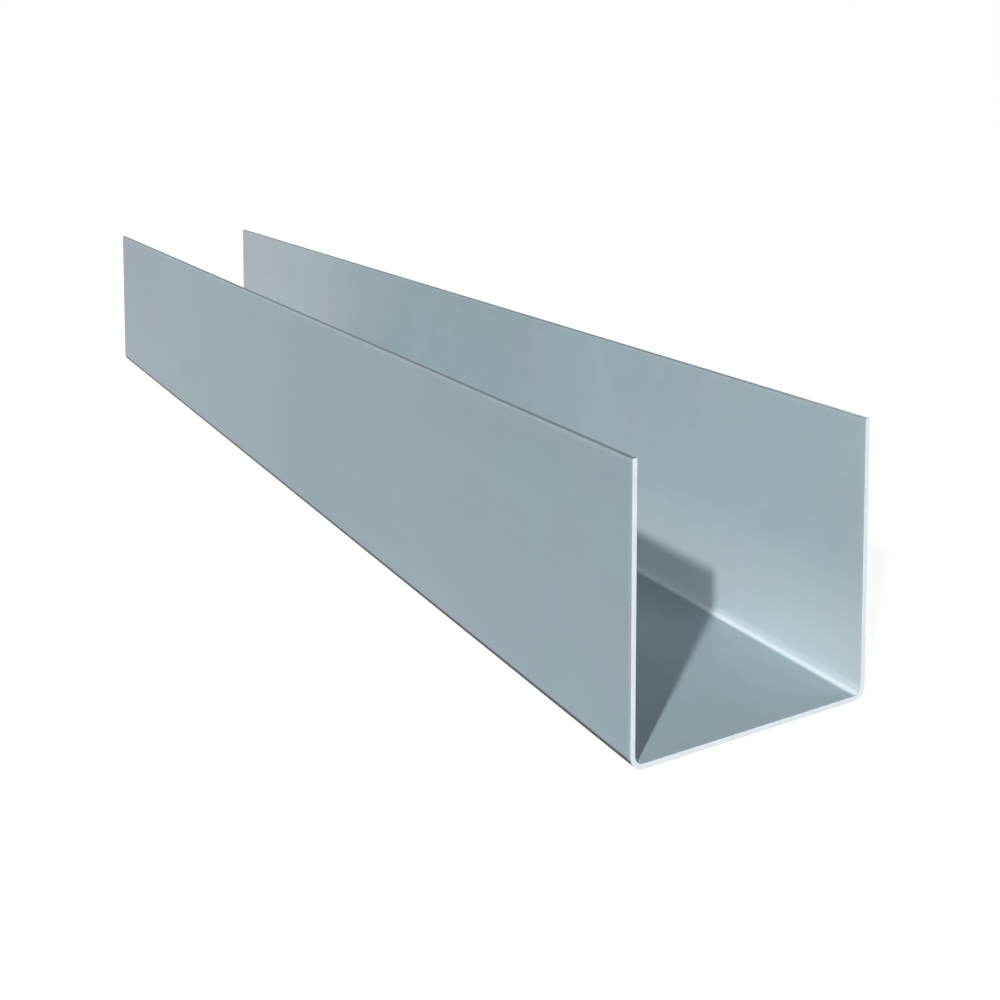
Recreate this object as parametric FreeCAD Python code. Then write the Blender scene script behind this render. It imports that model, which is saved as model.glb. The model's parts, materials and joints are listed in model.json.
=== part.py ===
import FreeCAD, Part
import os

# Drywall track: one roll-formed length of zinc-coated steel sheet.
#
# A flat web lies on the floor or soffit and two equal legs stand up from it, so that
# wall studs drop in between them. The sheet has one thickness all the way round, and
# each bend is a pair of concentric arcs, tangent to the web and to the leg.
#
# Frame: +X across the web, +Y along the length, +Z up from the web to the leg tips.
# The origin is the middle of the web's underside.

# Driving dimensions, in millimetres
WEB_WIDTH = 50.0  # outside to outside of the legs
LEG_HEIGHT = 50.0  # underside of the web to the leg tips
LENGTH = 350.0
SHEET_THICKNESS = 0.9
INSIDE_BEND_RADIUS = 1.6

# Worked out from the driving dimensions
OUTSIDE_BEND_RADIUS = INSIDE_BEND_RADIUS + SHEET_THICKNESS
HALF_WEB = WEB_WIDTH / 2
BEND_CENTRE_X = HALF_WEB - OUTSIDE_BEND_RADIUS
BEND_CENTRE_Z = OUTSIDE_BEND_RADIUS
NEAR_END_Y = -LENGTH / 2

LEFT, RIGHT = -1, 1


def point(x, z):
    """A point of the cross-section, in the plane of the track's near end."""
    return FreeCAD.Vector(x, NEAR_END_Y, z)


def straight(start, end):
    """A straight edge of the cross-section."""
    return Part.LineSegment(start, end).toShape()


def bend(side, radius):
    """The quarter turn from the web up into one leg, about that bend's centre."""
    centre_x = side * BEND_CENTRE_X
    diagonal = radius / 2**0.5
    at_web = point(centre_x, BEND_CENTRE_Z - radius)
    halfway = point(centre_x + side * diagonal, BEND_CENTRE_Z - diagonal)
    at_leg = point(centre_x + side * radius, BEND_CENTRE_Z)
    return Part.Arc(at_web, halfway, at_leg).toShape()


def sheet_face(radius):
    """One face of the sheet seen end on: web, two bends and two legs.

    The outside bend radius gives the track's outer face, the inside one its inner face.
    """
    web_z = BEND_CENTRE_Z - radius
    edges = [straight(point(-BEND_CENTRE_X, web_z), point(BEND_CENTRE_X, web_z))]
    for side in (LEFT, RIGHT):
        leg_x = side * (BEND_CENTRE_X + radius)
        edges.append(bend(side, radius))
        edges.append(straight(point(leg_x, BEND_CENTRE_Z), point(leg_x, LEG_HEIGHT)))
    return edges


def leg_tip(side):
    """The slit edge of the sheet along the top of one leg."""
    outer = point(side * HALF_WEB, LEG_HEIGHT)
    inner = point(side * (HALF_WEB - SHEET_THICKNESS), LEG_HEIGHT)
    return straight(outer, inner)


def track_channel():
    """The whole track: its section at the near end, carried straight along the length."""
    edges = sheet_face(OUTSIDE_BEND_RADIUS) + sheet_face(INSIDE_BEND_RADIUS)
    edges += [leg_tip(LEFT), leg_tip(RIGHT)]
    outline = Part.Wire(Part.__sortEdges__(edges))
    return Part.Face(outline).extrude(FreeCAD.Vector(0, LENGTH, 0))


def main():
    os.makedirs("parts", exist_ok=True)
    track_channel().exportStep("parts/track_channel.step")


main()
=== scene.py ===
import json
import math

import bpy
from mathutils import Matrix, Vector


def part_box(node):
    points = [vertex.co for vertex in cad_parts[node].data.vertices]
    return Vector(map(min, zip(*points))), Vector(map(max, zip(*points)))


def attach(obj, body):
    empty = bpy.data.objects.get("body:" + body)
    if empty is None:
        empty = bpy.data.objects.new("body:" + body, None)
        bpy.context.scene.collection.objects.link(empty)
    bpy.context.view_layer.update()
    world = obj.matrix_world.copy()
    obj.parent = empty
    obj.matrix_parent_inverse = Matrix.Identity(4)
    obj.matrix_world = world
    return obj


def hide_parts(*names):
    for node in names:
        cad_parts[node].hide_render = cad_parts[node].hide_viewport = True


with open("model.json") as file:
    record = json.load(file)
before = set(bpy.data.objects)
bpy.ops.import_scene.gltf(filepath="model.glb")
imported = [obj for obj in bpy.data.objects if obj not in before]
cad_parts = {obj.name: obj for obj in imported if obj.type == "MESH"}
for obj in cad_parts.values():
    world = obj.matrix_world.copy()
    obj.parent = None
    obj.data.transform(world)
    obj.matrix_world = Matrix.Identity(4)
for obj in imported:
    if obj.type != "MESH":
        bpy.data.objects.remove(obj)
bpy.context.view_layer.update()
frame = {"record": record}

# Sizes of the track, in metres
LOW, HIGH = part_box("track_channel")
HALF_WIDTH = (HIGH.x - LOW.x) / 2
HALF_LENGTH = (HIGH.y - LOW.y) / 2
HEIGHT = HIGH.z
MOUNT_AT = {mount["name"]: Vector(mount["pos_m"]) for mount in frame["record"]["mounts"]}
SHEET = (MOUNT_AT["stud_seat"] - MOUNT_AT["web_underside"]).z
INSIDE_RADIUS = 0.0016
OUTSIDE_RADIUS = INSIDE_RADIUS + SHEET
HALF_FLAT_WEB = HALF_WIDTH - OUTSIDE_RADIUS
EDGE_ROUND = 0.00008  # what slitting leaves along the leg tips
END_ROUND = 0.00006  # what shearing leaves round the ends, less than EDGE_ROUND

# Fineness of the track's mesh
BEND_STEPS = 14
EDGE_STEPS = 3
LONGEST_RUN_ACROSS = 0.004
LONGEST_RUN_ALONG = 0.007

# Material slots of the track's mesh
COATED, SLIT, CUT = range(3)

# The sheet laid flat, in metres: u runs across it from the middle of its outer face, and v along it
INNER_U = 0.2  # the middle of the inner face
CUT_V = 0.3  # where the faces of the cut ends start
INNER_BEND_END = HALF_FLAT_WEB + INSIDE_RADIUS * math.pi / 2
OUTER_BEND_END = HALF_FLAT_WEB + OUTSIDE_RADIUS * math.pi / 2

# Colours, linear
ZINC_OUTSIDE = (0.299, 0.378, 0.42)
# Inner faces lighter than the outer ones: painted bounce light inside the channel, the zinc being the
# same on both sides
ZINC_INSIDE_PAINTED_BOUNCE = (0.408, 0.503, 0.544)
# Rubbed zinc along the worn edges, also used as painted bounce light and reflection of the lit web at
# the inner legs' feet
ZINC_RUBBED_AND_BOUNCE_LIT = (0.62, 0.67, 0.69)
# Painted highlight: the bright line along the inner bends
ZINC_PAINTED_HIGHLIGHT = (0.84, 0.91, 0.945)
# Painted contact shade: the dark line along the outer bends where they meet the floor
ZINC_PAINTED_CONTACT_SHADE = (0.048, 0.057, 0.061)
TINT_GREENISH = (0.975, 1.01, 1.0)
TINT_LILAC = (1.025, 0.99, 1.0)
SLIT_DARK = (0.16, 0.205, 0.22)
SLIT_LIGHT = (0.25, 0.325, 0.345)
CUT_DARK = (0.385, 0.425, 0.45)
CUT_LIGHT = (0.50, 0.54, 0.565)

# Sizes of the zinc's marks, in metres, a pair being (across, along) the sheet laid flat
CLOUD_AND_SHEEN_SIZE = 0.08
HUE_SIZE = 0.03
BAND_SIZE = (0.007, 0.5)
ROLL_LINE_SIZE = (0.0005, 0.09)
GRAIN_SIZE = 0.0004
CRYSTAL_SIZE = 0.0045
SCRATCH_SIZE = (0.0004, 0.05)
SCRATCHED_PATCH_SIZE = 0.03

# Which of the possible clouds and hues the zinc has; the cloud's light and dark patches are random tone
# and partly painted sheen, its seed picked to place them where a sheen falls
CLOUD_AND_SHEEN_SEED = 39.5
HUE_SEED = 6.0

# Levels of noise between which a mark comes up
HUE_LEVELS = (0.3, 0.7)
SCRATCH_LEVELS = (0.70, 0.76)
SCRATCHED_PATCH_LEVELS = (0.45, 0.6)

# How much each mark changes the zinc's brightness, roughness and height
# The cloud's brightness is random tone and partly painted sheen
BRIGHTNESS_BY = {"cloud_and_sheen": 0.30, "band": 0.05, "roll_line": 0.08, "grain": 0.07, "crystal": 0.025}
ROUGHNESS_BY = {"cloud_and_sheen": 0.06, "crystal": 0.03, "grain": 0.03}
HEIGHT_BY = {"roll_line": 0.6, "grain": 0.2, "crystal": 0.2}
SCRATCH_BRIGHTNESS = 0.04

# Gloss and relief of the zinc
ROUGHNESS_INSIDE = 0.22
ROUGHNESS_OUTSIDE = 0.42
# Rougher along the painted contact shade
CONTACT_SHADE_ROUGHER = 0.3
RUBBED_SMOOTHER = 0.06
METALLIC_OUTSIDE = 0.5
ZINC_SPECULAR = 0.4
ZINC_RELIEF = 0.000006

# Zones of the zinc, in metres from the web's middle: where each starts, is full, fades and ends
# The inner legs' feet, where bounce light from the lit web is painted
LEG_FOOT_ZONE = (HALF_FLAT_WEB, INNER_BEND_END, INNER_BEND_END + 0.004, INNER_BEND_END + 0.027)
# The inner bends, where a painted highlight runs
INNER_BEND_ZONE = (
    HALF_FLAT_WEB - 0.0002,
    HALF_FLAT_WEB + 0.0006,
    HALF_FLAT_WEB + 0.0008,
    INNER_BEND_END + 0.0006,
)
# The outer bends, where a contact shade is painted
OUTER_BEND_ZONE = (
    HALF_FLAT_WEB - 0.001,
    HALF_FLAT_WEB + 0.0008,
    OUTER_BEND_END - 0.0010,
    OUTER_BEND_END - 0.0003,
)
# Where the painted highlight line fades across the bend
HIGHLIGHT_LINE_ACROSS = (HALF_FLAT_WEB + 0.0015, HALF_FLAT_WEB + 0.0008)  # from none to full

# Painted light and wear on the zinc: how strong each is, and how far it reaches from an edge, in metres
# Painted bounce light at the inner legs' feet, stronger near the cut ends
FOOT_PAINTED_BOUNCE = 0.30
FOOT_PAINTED_BOUNCE_AT_CUT = 0.43
FOOT_PAINTED_BOUNCE_REACH = 0.030
# Painted highlight: the inner bends made lighter all across
BEND_PAINTED_HIGHLIGHT = 1.2
# Painted highlight line: how strong it is, most near the cut ends and fading inwards
HIGHLIGHT_LINE = 0.20
HIGHLIGHT_LINE_AT_CUT = 0.85
HIGHLIGHT_LINE_FALL = (0.050, 0.038)  # from the cut ends: least past the first, most up to the second
EDGE_RUB = 0.2
EDGE_RUB_REACH = 0.0011
EDGE_RUB_WANDER = 0.0018
EDGE_RUB_WANDER_SIZE = 0.008

# Bare steel: how much its patches change the colour, and its streaks the roughness
STEEL_PATCH_CONTRAST = 0.8
STEEL_STREAK_ROUGHNESS = 0.2

# Camera, from the middle of the near end's foot
CAMERA_FROM_NEAR_END = Vector((-0.13438, -0.15404, 0.10551))
CAMERA_YAW = math.radians(29.184)
CAMERA_PITCH = math.radians(-3.836)
CAMERA_LENS = 44.81
CAMERA_SHIFT_UP = -0.32

# Studio
TOWARDS_KEY = Vector((-0.644, -0.538, 0.544))
KEY_STRENGTH = 2.53
KEY_ANGLE = math.radians(2.0)
TOWARDS_BACK_FILL = Vector((0.78, 0.62, 0.08)).normalized()
BACK_FILL_STRENGTH = 2.2
BACK_FILL_ANGLE = math.radians(8)
TOWARDS_FRONT_FILL = Vector((-0.2, -0.97, 0.02)).normalized()
FRONT_FILL_DISTANCE = 0.8
FRONT_FILL_SIZE = (0.14, 0.07)
FRONT_FILL_STRENGTH = 3.9  # as a sun's strength, at the near end
WORLD_STRENGTH = 0.03
FLOOR_RADIUS = 4.0
FLOOR_SIDES = 64
FLOOR_TONE = 0.2
FLOOR_WHITE = 1.02  # what the rays that see the background get from the floor, just past white
FLOOR_GAP = 0.0001  # the floor lies this far under the track


# The track's mesh


def round_corner(centre_x, centre_z, radius, start, end, steps, hollow=False):
    """[(point, outward normal)] round a corner of the section, by angles in degrees from +X to +Z."""
    outward = -1 if hollow else 1
    points = []
    for i in range(steps + 1):
        angle = math.radians(start + (end - start) * i / steps)
        direction = Vector((math.cos(angle), math.sin(angle)))
        points.append((Vector((centre_x, centre_z)) + radius * direction, outward * direction))
    return points


def straight_run(start, end):
    """The points strictly between two points of the section, with the start's normal."""
    (start_point, normal), (end_point, _) = start, end
    count = math.ceil((end_point - start_point).length / LONGEST_RUN_ACROSS)
    return [(start_point.lerp(end_point, i / count), normal) for i in range(1, count)]


def section():
    """[(point, outward normal)] once round the cross-section.

    The walk goes down the right leg's outer face, under the web, up the left leg, over its tip
    and back along the inner faces, so that point i lies across the sheet from point -1 - i.
    """
    bend_x = HALF_FLAT_WEB
    bend_z = OUTSIDE_RADIUS
    tip_z = HEIGHT - EDGE_ROUND
    outer_x = HALF_WIDTH - EDGE_ROUND
    inner_x = HALF_WIDTH - SHEET + EDGE_ROUND
    corners = [
        round_corner(outer_x, tip_z, EDGE_ROUND, 90, 0, EDGE_STEPS),
        round_corner(bend_x, bend_z, OUTSIDE_RADIUS, 0, -90, BEND_STEPS),
        round_corner(-bend_x, bend_z, OUTSIDE_RADIUS, -90, -180, BEND_STEPS),
        round_corner(-outer_x, tip_z, EDGE_ROUND, 180, 90, EDGE_STEPS),
        round_corner(-inner_x, tip_z, EDGE_ROUND, 90, 0, EDGE_STEPS),
        round_corner(-bend_x, bend_z, INSIDE_RADIUS, 180, 270, BEND_STEPS, hollow=True),
        round_corner(bend_x, bend_z, INSIDE_RADIUS, 270, 360, BEND_STEPS, hollow=True),
        round_corner(inner_x, tip_z, EDGE_ROUND, 180, 90, EDGE_STEPS),
    ]
    walk = []
    for corner, following in zip(corners, corners[1:] + corners[:1]):
        walk += corner + straight_run(corner[-1], following[0])
    return walk


def laid_flat(walk):
    """For each point of the section, its place u across the sheet laid flat."""
    half = len(walk) // 2
    places = []
    for face, middle in ((walk[:half], 0.0), (walk[half:], INNER_U)):
        walked = [0.0]
        for (point, _), (following, _) in zip(face, face[1:]):
            walked.append(walked[-1] + (following - point).length)
        places += [middle + distance - walked[-1] / 2 for distance in walked]
    return places


def stations():
    """[(y, inset of the section, how far the surface faces along +Y)] from the near end on."""
    rounded = []
    for i in range(EDGE_STEPS + 1):
        turn = math.radians(90 * i / EDGE_STEPS)
        from_end = END_ROUND * (1 - math.cos(turn))
        rounded.append((HALF_LENGTH - from_end, END_ROUND * (1 - math.sin(turn)), math.cos(turn)))
    near = [(-y, inset, -facing) for y, inset, facing in rounded]
    straight = HALF_LENGTH - END_ROUND
    count = math.ceil(2 * straight / LONGEST_RUN_ALONG)
    between = [(straight * (2 * i / count - 1), 0.0, 0.0) for i in range(1, count)]
    return near + between + rounded[::-1]


def swept_points(walk, rows):
    """The places and the normals of the section's points at every station."""
    places, normals = [], []
    for y, inset, facing in rows:
        sideways = math.sqrt(1 - facing**2)
        for point, normal in walk:
            place = point - inset * normal
            places.append((place.x, y, place.y))
            normals.append((sideways * normal.x, facing, sideways * normal.y))
    return places, normals


def faces_round(walk, rows, flat):
    """[(corners, material slot, UVs)] of the faces round the sheet, from station to station."""
    count = len(walk)
    faces = []
    for row, (near, far) in enumerate(zip(rows, rows[1:])):
        (near_y, near_inset, _), (far_y, far_inset, _) = near, far
        at_end = near_inset > 0 or far_inset > 0
        start, following = row * count, (row + 1) * count
        for i in range(count):
            j = (i + 1) % count
            at_tip = (walk[i][0].y + walk[j][0].y) / 2 > HEIGHT - EDGE_ROUND
            crosses_tip = j in (0, count // 2)
            end_u = flat[i] + SHEET if crosses_tip else flat[j]
            corners = (start + i, start + j, following + j, following + i)
            slot = CUT if at_end else SLIT if at_tip else COATED
            uvs = [(flat[i], near_y), (end_u, near_y), (end_u, far_y), (flat[i], far_y)]
            faces.append((corners, slot, uvs))
    return faces


def end_faces(count, row_count, flat):
    """[(corners, material slot, UVs)] of the faces across the sheet at its two ends."""
    last = (row_count - 1) * count
    faces = []
    for i in range(count // 2 - 1):
        corners = (i, count - 1 - i, count - 2 - i, i + 1)
        u, end_u = flat[i], flat[i + 1]
        uvs = [(u, CUT_V), (u, CUT_V + SHEET), (end_u, CUT_V + SHEET), (end_u, CUT_V)]
        faces.append((corners, CUT, uvs))
        faces.append((tuple(last + corner for corner in reversed(corners)), CUT, uvs[::-1]))
    return faces


def track_mesh():
    """The sheet as one closed mesh, with exact normals and a UV map of the sheet laid flat."""
    walk = section()
    rows = stations()
    flat = laid_flat(walk)
    places, normals = swept_points(walk, rows)
    faces = faces_round(walk, rows, flat) + end_faces(len(walk), len(rows), flat)
    corners, slots, face_uvs = zip(*faces)

    mesh = bpy.data.meshes.new("track_sheet")
    mesh.from_pydata(places, [], corners)
    mesh.polygons.foreach_set("material_index", slots)
    mesh.polygons.foreach_set("use_smooth", [True] * len(faces))
    developed = mesh.uv_layers.new(name="laid_flat")
    for loop, uv in zip(developed.data, [uv for uvs in face_uvs for uv in uvs]):
        loop.uv = uv
    mesh.normals_split_custom_set_from_vertices(normals)
    return mesh


# Nodes


def new_material(name):
    material = bpy.data.materials.new(name)
    material.use_nodes = True
    material.node_tree.nodes.clear()
    return material


def add(tree, kind, inputs=None, **settings):
    """A new node of a tree. An input that is a socket is linked, and any other is set."""
    node = tree.nodes.new(kind)
    for name, value in settings.items():
        setattr(node, name, value)
    for name, value in (inputs or {}).items():
        if isinstance(value, bpy.types.NodeSocket):
            tree.links.new(value, node.inputs[name])
        else:
            node.inputs[name].default_value = value
    return node


def calc(tree, operation, *values):
    return add(tree, "ShaderNodeMath", dict(enumerate(values)), operation=operation).outputs[0]


def product(tree, first, *others):
    """The values multiplied together."""
    result = first
    for other in others:
        result = calc(tree, "MULTIPLY", result, other)
    return result


def blend(tree, factor, first, second):
    """The number first where the factor is 0, and second where it is 1."""
    return calc(tree, "MULTIPLY_ADD", factor, second - first, first)


def swung(tree, start, weight, value):
    """start, plus weight x (value - 0.5)."""
    offset = calc(tree, "MULTIPLY_ADD", value, weight, -weight / 2)
    return calc(tree, "ADD", start, offset)


def varied(tree, start, weights, marks):
    """start, swung by each of the marks that has a weight."""
    result = start
    for name, weight in weights.items():
        result = swung(tree, result, weight, marks[name])
    return result


def rise(tree, value, low, high):
    """0 below low, 1 above high, and smooth between them; it falls instead where high is below low."""
    falls = high < low
    inputs = {"Value": value, "From Min": min(low, high), "From Max": max(low, high)}
    inputs["To Min"] = 1.0 if falls else 0.0
    inputs["To Max"] = 0.0 if falls else 1.0
    return add(tree, "ShaderNodeMapRange", inputs, interpolation_type="SMOOTHSTEP").outputs["Result"]


def zone(tree, value, start, full, fades, end):
    """0 up to start, 1 from full to where it fades and 0 again from end, smooth between them."""
    return product(tree, rise(tree, value, start, full), rise(tree, value, end, fades))


def noise(tree, place, size, detail=2.0, seed=0.0):
    """Noise with features of one size, or of a size (across, along). Each seed gives another noise."""
    if isinstance(size, tuple):
        across, along = size
        inputs = {0: place, 1: (1 / across, 1 / along, 1.0)}
        place = add(tree, "ShaderNodeVectorMath", inputs, operation="MULTIPLY").outputs[0]
        size = 1.0
    inputs = {"Vector": place, "W": seed, "Scale": 1 / size, "Detail": detail}
    return add(tree, "ShaderNodeTexNoise", inputs, noise_dimensions="4D").outputs["Fac"]


def colour_mix(tree, factor, first, second):
    """The colour first where the factor is 0, and second where it is 1."""
    node = add(tree, "ShaderNodeMix", data_type="RGBA")
    # The node repeats its sockets' names for each type of data, so those for colours go by number
    sockets = (node.inputs[0], node.inputs[6], node.inputs[7])
    for socket, value in zip(sockets, (factor, first, second)):
        if isinstance(value, bpy.types.NodeSocket):
            tree.links.new(value, socket)
        else:
            socket.default_value = (*value, 1.0)
    return node.outputs[2]


def shaded(tree, colour, brightness):
    """A colour times a brightness."""
    inputs = {0: colour, "Scale": brightness}
    return add(tree, "ShaderNodeVectorMath", inputs, operation="SCALE").outputs[0]


def tinted(tree, colour, tint):
    """A colour times another, channel by channel."""
    return add(tree, "ShaderNodeVectorMath", {0: colour, 1: tint}, operation="MULTIPLY").outputs[0]


def flat_place(tree):
    """The place on the sheet laid flat."""
    return add(tree, "ShaderNodeUVMap", uv_map="laid_flat").outputs["UV"]


def surface(tree, inputs, height, relief):
    """The material's shader and output, with a bump as deep as the relief, in metres."""
    bump = add(tree, "ShaderNodeBump", {"Height": height, "Distance": relief})
    shader = add(tree, "ShaderNodeBsdfPrincipled", {**inputs, "Normal": bump.outputs["Normal"]})
    add(tree, "ShaderNodeOutputMaterial", {"Surface": shader.outputs["BSDF"]})


# The track's materials


def crystals(tree, flat):
    """A value for each zinc crystal, 0 to 1."""
    inputs = {"Vector": flat, "Scale": 1 / CRYSTAL_SIZE}
    cells = add(tree, "ShaderNodeTexVoronoi", inputs, voronoi_dimensions="2D")
    return add(tree, "ShaderNodeSeparateColor", {"Color": cells.outputs["Color"]}).outputs["Red"]


def scratches(tree, flat):
    """1 along sparse hairlines that run with the length, here and there."""
    lines = rise(tree, noise(tree, flat, SCRATCH_SIZE, detail=0.0), *SCRATCH_LEVELS)
    patches = noise(tree, flat, SCRATCHED_PATCH_SIZE, detail=1.0)
    patches = rise(tree, patches, *SCRATCHED_PATCH_LEVELS)
    return product(tree, lines, patches)


def zinc_marks(tree, place, flat):
    """What rolling, coating and handling leave all over the zinc, each 0 to 1."""
    return {
        # Random tone, and partly painted sheen
        "cloud_and_sheen": noise(tree, place, CLOUD_AND_SHEEN_SIZE, seed=CLOUD_AND_SHEEN_SEED),
        "hue": rise(tree, noise(tree, place, HUE_SIZE, detail=1.0, seed=HUE_SEED), *HUE_LEVELS),
        "band": noise(tree, flat, BAND_SIZE),
        "roll_line": noise(tree, flat, ROLL_LINE_SIZE),
        "grain": noise(tree, flat, GRAIN_SIZE),
        "crystal": crystals(tree, flat),
        "scratch": scratches(tree, flat),
    }


def rubbed_edges(tree, place, from_cut, from_tip):
    """1 along the cut ends and leg tips, fading unevenly inwards."""
    from_edge = calc(tree, "MINIMUM", from_cut, from_tip)
    wander = noise(tree, place, EDGE_RUB_WANDER_SIZE)
    return rise(tree, swung(tree, from_edge, EDGE_RUB_WANDER, wander), EDGE_RUB_REACH, 0.0)


def zinc_wear(tree, place, flat):
    """The two sides of the sheet, and the zones of painted light and the wear on them, each 0 to 1."""
    across = add(tree, "ShaderNodeSeparateXYZ", {"Vector": flat}).outputs["X"]
    inside = calc(tree, "GREATER_THAN", across, INNER_U / 2)
    outside = calc(tree, "SUBTRACT", 1.0, inside)
    from_middle = calc(tree, "ABSOLUTE", calc(tree, "MULTIPLY_ADD", inside, -INNER_U, across))
    axes = add(tree, "ShaderNodeSeparateXYZ", {"Vector": place}).outputs
    from_cut = calc(tree, "SUBTRACT", HALF_LENGTH, calc(tree, "ABSOLUTE", axes["Y"]))
    from_tip = calc(tree, "SUBTRACT", HEIGHT, axes["Z"])

    # Painted bounce light and reflection of the lit web at the inner legs' feet, stronger near the cut
    # ends
    foot = product(tree, inside, zone(tree, from_middle, *LEG_FOOT_ZONE))
    foot_bounce = blend(tree, rise(tree, from_cut, FOOT_PAINTED_BOUNCE_REACH, 0.0), FOOT_PAINTED_BOUNCE, FOOT_PAINTED_BOUNCE_AT_CUT)
    # Painted highlight along the inner bends
    bend = product(tree, inside, zone(tree, from_middle, *INNER_BEND_ZONE))
    # Painted highlight line near the web, strongest near the cut ends
    line = product(tree, bend, rise(tree, from_middle, *HIGHLIGHT_LINE_ACROSS))
    highlight_strength = blend(tree, rise(tree, from_cut, *HIGHLIGHT_LINE_FALL), HIGHLIGHT_LINE, HIGHLIGHT_LINE_AT_CUT)
    return {
        "inside": inside,
        "outside": outside,
        "painted_bounce_foot": product(tree, foot, foot_bounce),
        "inner_bend_painted_highlight": bend,
        "painted_highlight": product(tree, line, highlight_strength),
        # Painted contact shade along the outer bends
        "painted_contact_shade": product(tree, outside, zone(tree, from_middle, *OUTER_BEND_ZONE)),
        "rubbed_edge": rubbed_edges(tree, place, from_cut, from_tip),
    }


def zinc_colour(tree, marks, wear):
    """The zinc's colour: lighter inside as painted bounce light, with painted bounce light at the inner
    legs' feet, a painted highlight along the inner bends, painted contact shade along the outer bends,
    and rubbed along its edges.
    """
    # The inner faces get a lighter colour as painted bounce light
    colour = colour_mix(tree, wear["inside"], ZINC_OUTSIDE, ZINC_INSIDE_PAINTED_BOUNCE)
    colour = tinted(tree, colour, colour_mix(tree, marks["hue"], TINT_GREENISH, TINT_LILAC))
    brightness = varied(tree, 1.0, BRIGHTNESS_BY, marks)
    brightness = calc(tree, "MULTIPLY_ADD", marks["scratch"], SCRATCH_BRIGHTNESS, brightness)
    colour = shaded(tree, colour, brightness)
    # Painted bounce light at the inner legs' feet
    colour = colour_mix(tree, wear["painted_bounce_foot"], colour, ZINC_RUBBED_AND_BOUNCE_LIT)
    # Painted highlight: the inner bends lighter
    colour = shaded(tree, colour, blend(tree, wear["inner_bend_painted_highlight"], 1.0, BEND_PAINTED_HIGHLIGHT))
    # Painted highlight line along the inner bends
    colour = colour_mix(tree, wear["painted_highlight"], colour, ZINC_PAINTED_HIGHLIGHT)
    # Painted contact shade along the outer bends
    colour = colour_mix(tree, wear["painted_contact_shade"], colour, ZINC_PAINTED_CONTACT_SHADE)
    return colour_mix(tree, product(tree, wear["rubbed_edge"], EDGE_RUB), colour, ZINC_RUBBED_AND_BOUNCE_LIT)


def zinc_sheet():
    """Satin zinc coating, part metallic on the sheet's outer faces."""
    material = new_material("zinc_sheet")
    tree = material.node_tree
    place = add(tree, "ShaderNodeTexCoord").outputs["Object"]
    flat = flat_place(tree)
    marks = zinc_marks(tree, place, flat)
    wear = zinc_wear(tree, place, flat)

    # Not metallic where the contact shade is painted
    unshaded = calc(tree, "SUBTRACT", 1.0, wear["painted_contact_shade"])
    roughness = blend(tree, wear["outside"], ROUGHNESS_INSIDE, ROUGHNESS_OUTSIDE)
    roughness = calc(tree, "MULTIPLY_ADD", wear["painted_contact_shade"], CONTACT_SHADE_ROUGHER, roughness)
    roughness = calc(tree, "MULTIPLY_ADD", wear["rubbed_edge"], -RUBBED_SMOOTHER, roughness)
    shader_inputs = {
        "Base Color": zinc_colour(tree, marks, wear),
        "Metallic": product(tree, wear["outside"], unshaded, METALLIC_OUTSIDE),
        "Roughness": varied(tree, roughness, ROUGHNESS_BY, marks),
        "Specular IOR Level": ZINC_SPECULAR,
    }
    surface(tree, shader_inputs, varied(tree, 0.5, HEIGHT_BY, marks), ZINC_RELIEF)
    return material


def bare_steel(name, dark, light, *, streaks, contrast, patches, roughness, metallic, specular, relief):
    """Bare steel where the sheet was cut: streaks of a size (across, along) on patches of a size."""
    material = new_material(name)
    tree = material.node_tree
    flat = flat_place(tree)
    streak = noise(tree, flat, streaks)
    paleness = swung(tree, 0.5, contrast, streak)
    paleness = swung(tree, paleness, STEEL_PATCH_CONTRAST, noise(tree, flat, patches))
    shader_inputs = {
        "Base Color": colour_mix(tree, paleness, dark, light),
        "Metallic": metallic,
        "Roughness": swung(tree, roughness, STEEL_STREAK_ROUGHNESS, streak),
        "Specular IOR Level": specular,
    }
    surface(tree, shader_inputs, streak, relief)
    return material


def slit_edge():
    """The leg tips, with streaks along them from slitting."""
    return bare_steel(
        "slit_edge",
        SLIT_DARK,
        SLIT_LIGHT,
        streaks=(0.00015, 0.012),
        contrast=1.2,
        patches=0.006,
        roughness=0.55,
        metallic=0.0,
        specular=0.15,
        relief=0.000005,
    )


def cut_end():
    """The ends, with marks through the sheet from shearing."""
    return bare_steel(
        "cut_end",
        CUT_DARK,
        CUT_LIGHT,
        streaks=(0.00012, 0.0012),
        contrast=1.0,
        patches=0.004,
        roughness=0.38,
        metallic=0.1,
        specular=0.5,
        relief=0.000008,
    )


def make_track():
    track = bpy.data.objects.new("track_sheet", track_mesh())
    bpy.context.scene.collection.objects.link(track)
    for material in (zinc_sheet(), slit_edge(), cut_end()):
        track.data.materials.append(material)
    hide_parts("track_channel")
    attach(track, "root")


# Studio


def shows_background(tree):
    """1 for the rays that see the background: the camera's, and those off or through a surface."""
    path = add(tree, "ShaderNodeLightPath").outputs
    direct = calc(tree, "MAXIMUM", path["Is Camera Ray"], path["Is Glossy Ray"])
    return calc(tree, "MAXIMUM", direct, path["Is Transmission Ray"])


def floor_material():
    """A pale floor, lifted to white for the rays that see the background, less what the track shades."""
    material = new_material("studio_white")
    tree = material.node_tree
    light = KEY_STRENGTH * TOWARDS_KEY.z + BACK_FILL_STRENGTH * TOWARDS_BACK_FILL.z
    lit = FLOOR_TONE * (light / math.pi + WORLD_STRENGTH)
    diffuse = add(tree, "ShaderNodeBsdfDiffuse", {"Color": (FLOOR_TONE, FLOOR_TONE, FLOOR_TONE, 1.0)})
    lift = calc(tree, "MULTIPLY", shows_background(tree), FLOOR_WHITE - lit)
    glow = add(tree, "ShaderNodeEmission", {"Strength": lift})
    both = add(tree, "ShaderNodeAddShader", {0: diffuse.outputs[0], 1: glow.outputs[0]})
    add(tree, "ShaderNodeOutputMaterial", {"Surface": both.outputs[0]})
    return material


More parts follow.
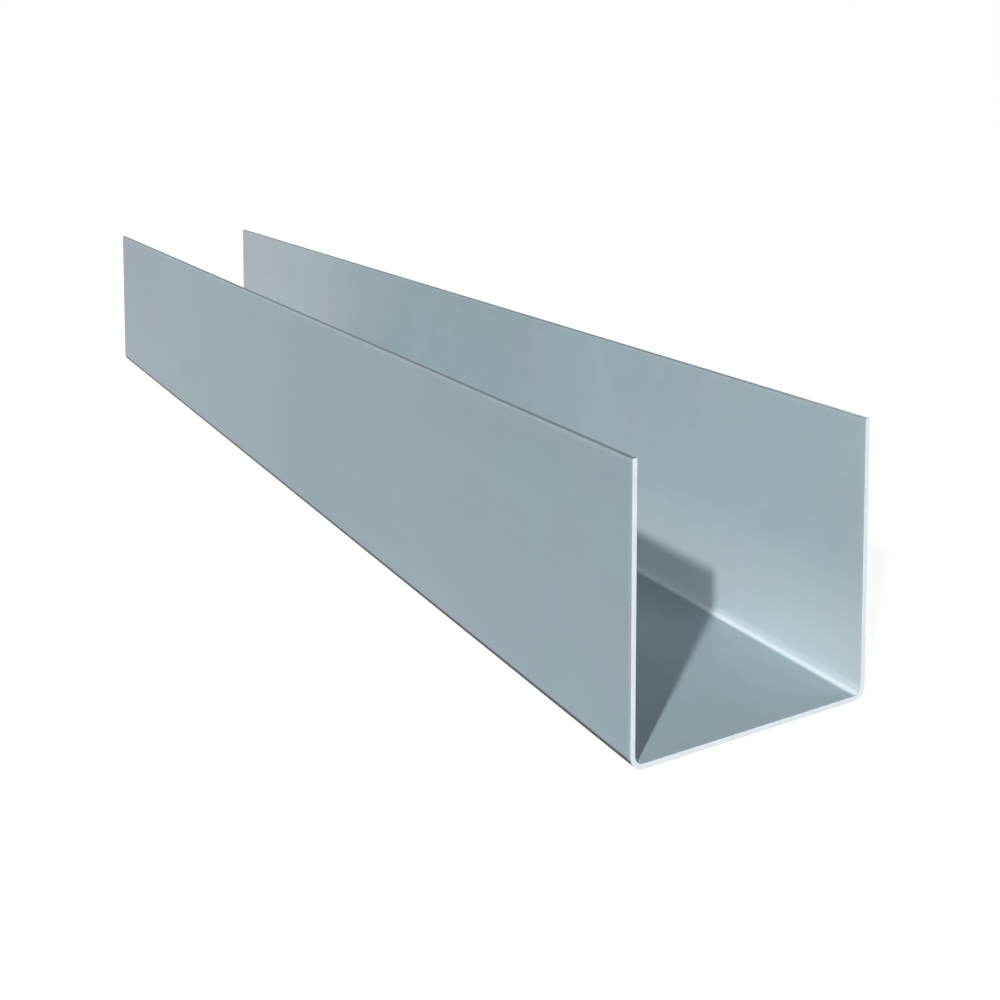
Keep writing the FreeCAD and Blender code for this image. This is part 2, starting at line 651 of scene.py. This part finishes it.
def make_floor():
    ring = []
    for k in range(FLOOR_SIDES):
        angle = 2 * math.pi * k / FLOOR_SIDES
        ring.append((FLOOR_RADIUS * math.cos(angle), FLOOR_RADIUS * math.sin(angle), -FLOOR_GAP))
    mesh = bpy.data.meshes.new("studio_floor")
    mesh.from_pydata(ring, [], [tuple(range(FLOOR_SIDES))])
    floor = bpy.data.objects.new("studio_floor", mesh)
    floor.data.materials.append(floor_material())
    bpy.context.scene.collection.objects.link(floor)


def make_lamp(name, kind, towards, **settings):
    """A lamp whose light comes from one direction."""
    data = bpy.data.lights.new(name, kind)
    for setting, value in settings.items():
        setattr(data, setting, value)
    lamp = bpy.data.objects.new(name, data)
    lamp.rotation_euler = towards.to_track_quat("Z", "Y").to_euler()
    lamp.visible_camera = False
    bpy.context.scene.collection.objects.link(lamp)
    return lamp


def make_lamps():
    make_lamp("key", "SUN", TOWARDS_KEY, energy=KEY_STRENGTH, angle=KEY_ANGLE)
    make_lamp("back_fill", "SUN", TOWARDS_BACK_FILL, energy=BACK_FILL_STRENGTH, angle=BACK_FILL_ANGLE)
    front = make_lamp("front_fill", "AREA", TOWARDS_FRONT_FILL, shape="RECTANGLE")
    front.data.size, front.data.size_y = FRONT_FILL_SIZE
    front.data.energy = math.pi * FRONT_FILL_STRENGTH * FRONT_FILL_DISTANCE**2
    front.visible_glossy = False
    front.location = Vector((0, -HALF_LENGTH, HEIGHT / 2)) + FRONT_FILL_DISTANCE * TOWARDS_FRONT_FILL


def make_world():
    """White for the rays that see the background, and a faint light for the others."""
    world = bpy.data.worlds.new("studio")
    world.use_nodes = True
    tree = world.node_tree
    background = tree.nodes["Background"]
    background.inputs["Color"].default_value = (1.0, 1.0, 1.0, 1.0)
    strength = blend(tree, shows_background(tree), WORLD_STRENGTH, 1.0)
    tree.links.new(strength, background.inputs["Strength"])
    bpy.context.scene.world = world


def make_camera():
    data = bpy.data.cameras.new("camera")
    data.lens = CAMERA_LENS
    data.shift_y = CAMERA_SHIFT_UP
    camera = bpy.data.objects.new("camera", data)
    camera.location = Vector((0, -HALF_LENGTH, 0)) + CAMERA_FROM_NEAR_END
    camera.rotation_euler = (math.pi / 2 + CAMERA_PITCH, 0, -CAMERA_YAW)
    bpy.context.scene.collection.objects.link(camera)
    bpy.context.scene.camera = camera


make_track()
make_floor()
make_lamps()
make_world()
make_camera()
bpy.context.scene.view_settings.view_transform = "Standard"
